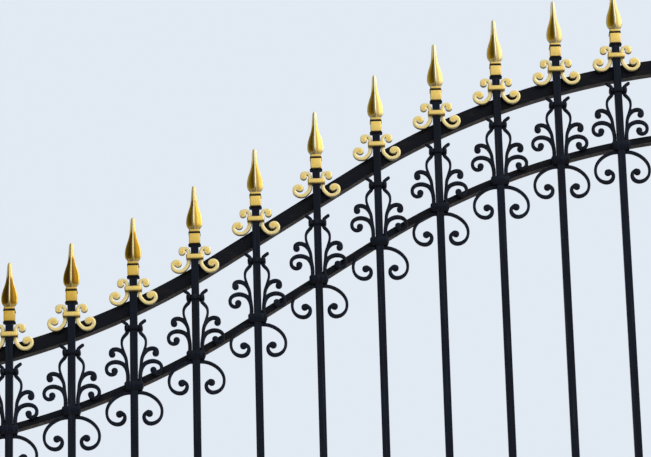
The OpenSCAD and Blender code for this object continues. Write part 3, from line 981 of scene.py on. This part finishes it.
# Places of the ornament along a leaf: heads on every picket and both stiles, the rest on
# the pickets alone
headPlaces = [(i * layout["pitch"], railHeight(i * layout["pitch"]))
              for i in range(layout["bays"] + 1)]
spearPlaces = [(x, z + spearZ * mm) for x, z in headPlaces]
bandPlaces = headPlaces[1:-1]
motifPlaces = [(x, secondHeight(x) - layout["ornamentSet"]) for x, z in bandPlaces]

# Name, shape, places, paint and CAD node, and for two of them sway and rims by place
ornament = (
    ("Spearheads", makeSpearhead(), spearPlaces, goldPaint, "spearheads",
     spearhead["sway"], headRims),
    ("SpearSockets", makeSocket(), headPlaces, goldPaint, "spear_sockets", 0.0, socketRims),
    ("SpearCollars", makeHeadIron(), headPlaces, blackPaint, "spear_collars"),
    ("GoldBands", makeBand(), bandPlaces, goldPaint, "gold_bands"),
    ("GoldScrolls", makeGoldScrolls(), bandPlaces, goldPaint, "gold_scrolls"),
    ("TopCollars", makeTopCollar(), motifPlaces, blackPaint, "top_collars"),
    ("BranchScrolls", makeBranches(), motifPlaces, blackPaint, "branch_scrolls"),
    ("LowerCollars", makeLowCollar(), motifPlaces, blackPaint, "lower_collars"),
    ("CScrolls", makeCScrolls(), motifPlaces, blackPaint, "c_scrolls"),
)
for side in leafTurn:
    for name, rail in curvedRails.items():
        makeCurvedRail(side, name, rail)
    for name, *settings in ornament:
        leafPiece(side, name, *settings)
print("rails and ornament made")


# Fixings, in millimetres: anchor bolts on the base plates, whose profiles are (radius,
# height), and domed bolt heads on the hinge plates
fixings = {
    "crease": 40, "anchorGap": 115, "plateTop": 15,
    "washer": [(19.5, 0), (20, 0.5), (20, 2.4), (19.3, 3)], "washerSides": 36,
    "nut": [(14.5, 0), (17.4, 1.5), (17.4, 14.2), (14.6, 16)], "nutSides": 48, "nutFlat": 15,
    "studFoot": [(8.8, 1), (9.8, 2)], "studTop": [(9.8, 45.4), (8.2, 47)], "studSides": 28,
    "threads": 5, "threadFrom": 34.6, "threadPitch": 2.5, "threadRadii": (9.8, 8.9),
    "plateFace": 83, "hingeY": 2, "hingeHeights": (260, 1300, 2240), "headAt": (31, 40),
    "dome": (9, 3.8), "domeSides": 24, "domeRings": (0.0, 0.25, 0.5, 0.7, 0.86, 0.96),
}


# A part turned from a profile, round or with six flats
def turned(shape, profile, x, y, sides, flat=None):
    rings = []
    for r, z in profile:
        ring = []
        for k in range(sides):
            a, reach = 2 * math.pi * k / sides, r
            if flat:
                reach = min(r, flat / math.cos((a + math.pi / 6) % (math.pi / 3) - math.pi / 6))
            ring.append((x + reach * math.cos(a), y + reach * math.sin(a), z))
        rings.append(ring)
    shape.add(*loft(rings))


def makeAnchor(shape, x, y):
    f = fixings
    nutFoot = f["plateTop"] + f["washer"][-1][1]
    turned(shape, raised(f["washer"], f["plateTop"]), x, y, f["washerSides"])
    turned(shape, raised(f["nut"], nutFoot), x, y, f["nutSides"], f["nutFlat"])
    crest, root = f["threadRadii"]
    thread = []
    for k in range(f["threads"]):
        z = f["threadFrom"] + k * f["threadPitch"]
        thread += [(crest, z), (root, z + f["threadPitch"] / 2)]
    turned(shape, f["studFoot"] + thread + f["studTop"], x, y, f["studSides"])


# A dome on a plate that faces along x
def makeDome(shape, face, y, z, turn):
    radius, high = fixings["dome"]
    turns = [2 * math.pi * k / fixings["domeSides"] for k in range(fixings["domeSides"])]
    rings = []
    for share in fixings["domeRings"]:
        r, rise = radius * math.sqrt(1 - share ** 2), high * share
        rings.append([(turn * (face + rise), y + turn * r * math.cos(a), z + r * math.sin(a))
                      for a in turns])
    shape.add(*loft(rings))


# A rippled bead of weld round the foot of a post. Its face is in shares of its size.
weldBead = {
    "postHalf": 75.0, "size": 7.0, "ripple": 3.4, "rippleRings": 4, "ridge": 0.7,
    "swell": 0.5, "seed": 11, "back": -1.0, "low": -0.2,
    "face": ((0.93, 0.18), (0.62, 0.60), (0.20, 0.92)),
}


def makeWeld():
    w, shape = weldBead, Shape()
    half, each, back, low = w["postHalf"], w["rippleRings"], w["back"], w["low"]
    around = 8 * half
    count = int(around / w["ripple"]) * each
    chance = random.Random(w["seed"])
    points, swell = [], 0.0
    for i in range(count):
        if i % each == 0:
            swell = chance.uniform(-w["swell"], w["swell"])
        leg, along = divmod(around * i / count, 2 * half)
        c, n = quarters[int(leg)]
        size = w["size"] + swell + w["ridge"] * abs(math.sin(math.pi * i / each))
        face = [(size * out, size * up) for out, up in w["face"]]
        for out, up in [(back, low), (size, low)] + face + [(back, size)]:
            reach, side = half + out, (along - half) * (1 + out / half)
            points.append((c * reach - n * side, n * reach + c * side,
                           fixings["plateTop"] + up))
    m = len(points) // count
    faces = []
    for j in range(count):
        here, onward = j * m, (j + 1) % count * m
        for k in range(m):
            after = (k + 1) % m
            faces.append((onward + k, onward + after, here + after, here + k))
    shape.add(points, faces)
    return shape


def makeFixings(side):
    f, turn = fixings, leafTurn[side]
    low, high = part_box(side + "_base_plate")
    centre = (low.x + high.x) / 2 / mm
    corners = [(a, b) for a in (-1, 1) for b in (-1, 1)]
    anchors, domes = Shape(), Shape()
    for a, b in corners:
        makeAnchor(anchors, a * f["anchorGap"], b * f["anchorGap"])
    for height in f["hingeHeights"]:
        for a, b in corners:
            makeDome(domes, f["plateFace"], f["hingeY"] + a * f["headAt"][0],
                     height + b * f["headAt"][1], turn)
    for name, shape, material in (("AnchorBolts", anchors, zincPlate),
                                  ("HingeBolts", domes, blackPaint),
                                  ("PostWeld", makeWeld(), blackPaint)):
        points = [((centre + px) * mm, py * mm, pz * mm) for px, py, pz in shape.points]
        meshPiece(side + name, points, shape.faces, material, "posts", f["crease"])


for side in leafTurn:
    makeFixings(side)
print("fixings made")


# Camera at the photo's angle: low down, looking up along the rising rail
cameraView = {
    "place": (1.2117, -7.2074, 0.2361), "pitch": 19.618, "yaw": 0.080, "roll": -1.585,
    "focalPixels": 3620.6, "imageWidth": 651, "sensor": 36.0, "clipEnd": 600,
}


def makeCamera():
    v = cameraView
    data = bpy.data.cameras.new("camera")
    data.sensor_width = v["sensor"]
    data.lens = v["focalPixels"] / v["imageWidth"] * v["sensor"]
    data.clip_end = v["clipEnd"]
    camera = bpy.data.objects.new("camera", data)
    bpy.context.scene.collection.objects.link(camera)
    camera.matrix_world = (
        Matrix.Translation(v["place"])
        @ Matrix.Rotation(-math.radians(v["yaw"]), 4, "Z")
        @ Matrix.Rotation(math.radians(90 + v["pitch"]), 4, "X")
        @ Matrix.Rotation(math.radians(v["roll"]), 4, "Z"))
    bpy.context.scene.camera = camera


# Studio: pale floor, pale surround with a dark flag at the left, a soft key and a weak fill
studio = {
    "floorSize": 420.0, "floor": (0.88, 0.88, 0.88, 1), "bounce": (0.50, 0.50, 0.50, 1),
    "floorRough": 0.9, "floorSpecular": 0.1,
    "surround": (0.76, 0.82, 0.90, 1), "dome": (0.94, 0.97, 1.0, 1), "domeStrength": 0.36,
    "flag": (-0.94, -0.12, 0.32), "flagEdge": (0.62, 0.92), "shade": 0.05,
    "key": {"power": 1.75, "angle": 56, "tilt": 57, "turn": 56, "tint": (1.0, 0.97, 0.92)},
    "fill": {"power": 0.30, "angle": 60, "tilt": 68, "turn": -6, "tint": (1.0, 0.98, 0.95)},
}


# Is Camera Ray, and a mask of all rays that look: straight, by a reflection or through glass
def seenRays(g):
    path = g.node("ShaderNodeLightPath").outputs
    seen = g.math("ADD", path["Is Camera Ray"], path["Is Glossy Ray"], clamp=True)
    seen = g.math("ADD", seen, path["Is Transmission Ray"], clamp=True)
    return path["Is Camera Ray"], seen


def makeFloor():
    half = studio["floorSize"] / 2
    mesh = bpy.data.meshes.new("floor")
    mesh.from_pydata([(-half, -half, 0), (half, -half, 0), (half, half, 0), (-half, half, 0)],
                     [], [(0, 1, 2, 3)])
    floor = bpy.data.objects.new("floor", mesh)
    bpy.context.scene.collection.objects.link(floor)
    material, g, shader = newMaterial("floorPaint", studio["floor"])
    _, seen = seenRays(g)
    g.feed(shader["Base Color"], g.mix(seen, studio["bounce"], studio["floor"]))
    shader["Roughness"].default_value = studio["floorRough"]
    shader["Specular IOR Level"].default_value = studio["floorSpecular"]
    mesh.materials.append(material)


def makeSurround():
    world = bpy.data.worlds.new("studio")
    bpy.context.scene.world = world
    world.use_nodes = True
    g = Graph(world.node_tree)
    g.tree.nodes.clear()
    straight, seen = seenRays(g)
    toward = g.dot(g.node("ShaderNodeTexCoord").outputs["Generated"], studio["flag"])
    lit = g.range(toward, *studio["flagEdge"], 1.0, studio["shade"])
    strength = g.range(seen, 0.0, 1.0, studio["domeStrength"], 1.0)
    background = g.node("ShaderNodeBackground")
    g.feed(background.inputs["Color"], g.mix(seen, studio["dome"], studio["surround"]))
    g.feed(background.inputs["Strength"],
           g.math("MULTIPLY", strength, g.math("MAXIMUM", lit, straight)))
    g.feed(g.node("ShaderNodeOutputWorld").inputs["Surface"], background.outputs[0])


def makeLamp(name, lamp):
    data = bpy.data.lights.new(name, "SUN")
    data.energy = lamp["power"]
    data.angle = math.radians(lamp["angle"])
    data.color = lamp["tint"]
    lampObject = bpy.data.objects.new(name, data)
    bpy.context.scene.collection.objects.link(lampObject)
    lampObject.rotation_euler = (math.radians(lamp["tilt"]), 0, math.radians(lamp["turn"]))


makeCamera()
makeFloor()
makeSurround()
makeLamp("keyLamp", studio["key"])
makeLamp("fillLamp", studio["fill"])
bpy.context.scene.view_settings.view_transform = "Standard"
print("camera and studio ready")
